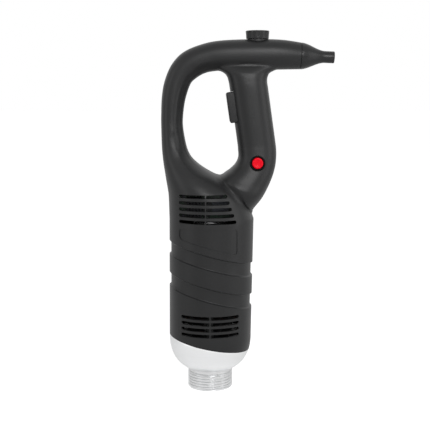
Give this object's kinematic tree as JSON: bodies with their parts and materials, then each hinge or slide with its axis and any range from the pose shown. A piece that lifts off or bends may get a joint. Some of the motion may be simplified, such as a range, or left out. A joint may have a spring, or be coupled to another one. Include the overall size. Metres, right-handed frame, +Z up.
{
  "type": "immersion blender motor unit",
  "caption": "Motor unit of a hand-held immersion blender: D-handle housing with trigger, lock button and speed knob, on a motor barrel with a threaded coupling collar.",
  "frame": {"origin": "centre of the threaded collar's lower end face, on the motor shaft's axis", "axes": "+Z up the motor shaft from the collar to the handle, +X towards the cord nozzle, -Y out of the side that carries the lock button"},
  "size_m": [0.1867, 0.0924, 0.3923],
  "materials": {
    "housing_plastic": "fine matte moulded grain, near black",
    "bezel_plastic": "smooth matte black",
    "red_button_plastic": "smooth, slightly glossy red",
    "cast_aluminium": "turned and satin finished",
    "machined_aluminium": "machined",
    "screw_steel": "zinc plated",
    "spring_steel": "drawn wire",
    "shaft_steel": "ground",
    "bearing_steel": "ground and polished",
    "lamination_steel": "stacked sheet, oiled",
    "enamelled_copper": "varnished winding wire",
    "copper_bars": "turned copper",
    "carbon": "pressed carbon",
    "brown_phenolic": "moulded phenolic",
    "switch_plastic": "moulded",
    "natural_nylon": "natural",
    "board_laminate": "green solder mask",
    "capacitor_resin": "cast resin, dark grey",
    "black_anodised": "extruded and black anodised",
    "black_nylon": "moulded glass-filled nylon",
    "seal_rubber": "moulded lip seal"
  },
  "bodies": {
    "motor_unit": {"housing_front": "housing_plastic", "housing_rear": "housing_plastic", "housing_screws": "screw_steel", "nose_cap": "cast_aluminium", "cap_screws": "screw_steel", "threaded_collar": "machined_aluminium", "collar_screws": "screw_steel", "cord_nozzle": "housing_plastic", "cord_clamp": "housing_plastic", "cord_clamp_screws": "screw_steel", "speed_control_body": "switch_plastic", "dial_nut": "screw_steel", "trigger_spring": "spring_steel", "trigger_switch": "switch_plastic", "lock_bezel": "bezel_plastic", "lock_spring": "spring_steel", "lock_guide": "housing_plastic", "control_board": "board_laminate", "board_screws": "screw_steel", "heat_sink": "black_anodised", "suppression_capacitor": "capacitor_resin", "terminal_block": "black_nylon", "lower_bracket": "cast_aluminium", "upper_bracket": "cast_aluminium", "frame_bolts": "screw_steel", "air_baffle": "housing_plastic", "stator_core": "lamination_steel", "field_coils": "enamelled_copper", "shaft_seal": "seal_rubber", "lower_bearing_outer_race": "bearing_steel", "lower_bearing_balls": "bearing_steel", "upper_bearing_outer_race": "bearing_steel", "upper_bearing_balls": "bearing_steel", "brush_holders": "brown_phenolic", "carbon_brushes": "carbon", "brush_springs": "spring_steel"},
    "rotor": {"rotor_shaft": "shaft_steel", "armature_core": "lamination_steel", "armature_winding": "enamelled_copper", "commutator": "copper_bars", "cooling_fan": "black_nylon", "drive_socket": "shaft_steel", "shaft_clip": "spring_steel", "lower_bearing_inner_race": "bearing_steel", "upper_bearing_inner_race": "bearing_steel"},
    "speed_dial": {"speed_knob": "housing_plastic", "speed_dial_shaft": "shaft_steel"},
    "trigger_unit": {"trigger": "housing_plastic", "switch_plunger": "natural_nylon"},
    "lock_button_unit": {"lock_button": "red_button_plastic"}
  },
  "joints": [
    {"name": "rotor_spin", "type": "hinge", "parent": "motor_unit", "child": "rotor", "pos_m": [0, 0, 0.1], "axis": [0, 0, 1], "continuous": true},
    {"name": "speed_dial_turn", "type": "hinge", "parent": "motor_unit", "child": "speed_dial", "pos_m": [0.0508, 0, 0.3837], "axis": [0, 0, 1], "range_deg": [-300, 0]},
    {"name": "trigger_press", "type": "slide", "parent": "motor_unit", "child": "trigger_unit", "axis": [0.9898, 0, 0.1426], "range_m": [0, 0.004], "stiffness_N_per_m": 1200, "springref_m": -0.003, "deforming": ["trigger_spring"]},
    {"name": "lock_button_press", "type": "slide", "parent": "motor_unit", "child": "lock_button_unit", "axis": [0, 1, 0], "range_m": [0, 0.002], "stiffness_N_per_m": 900, "springref_m": -0.002, "deforming": ["lock_spring"]}
  ]
}
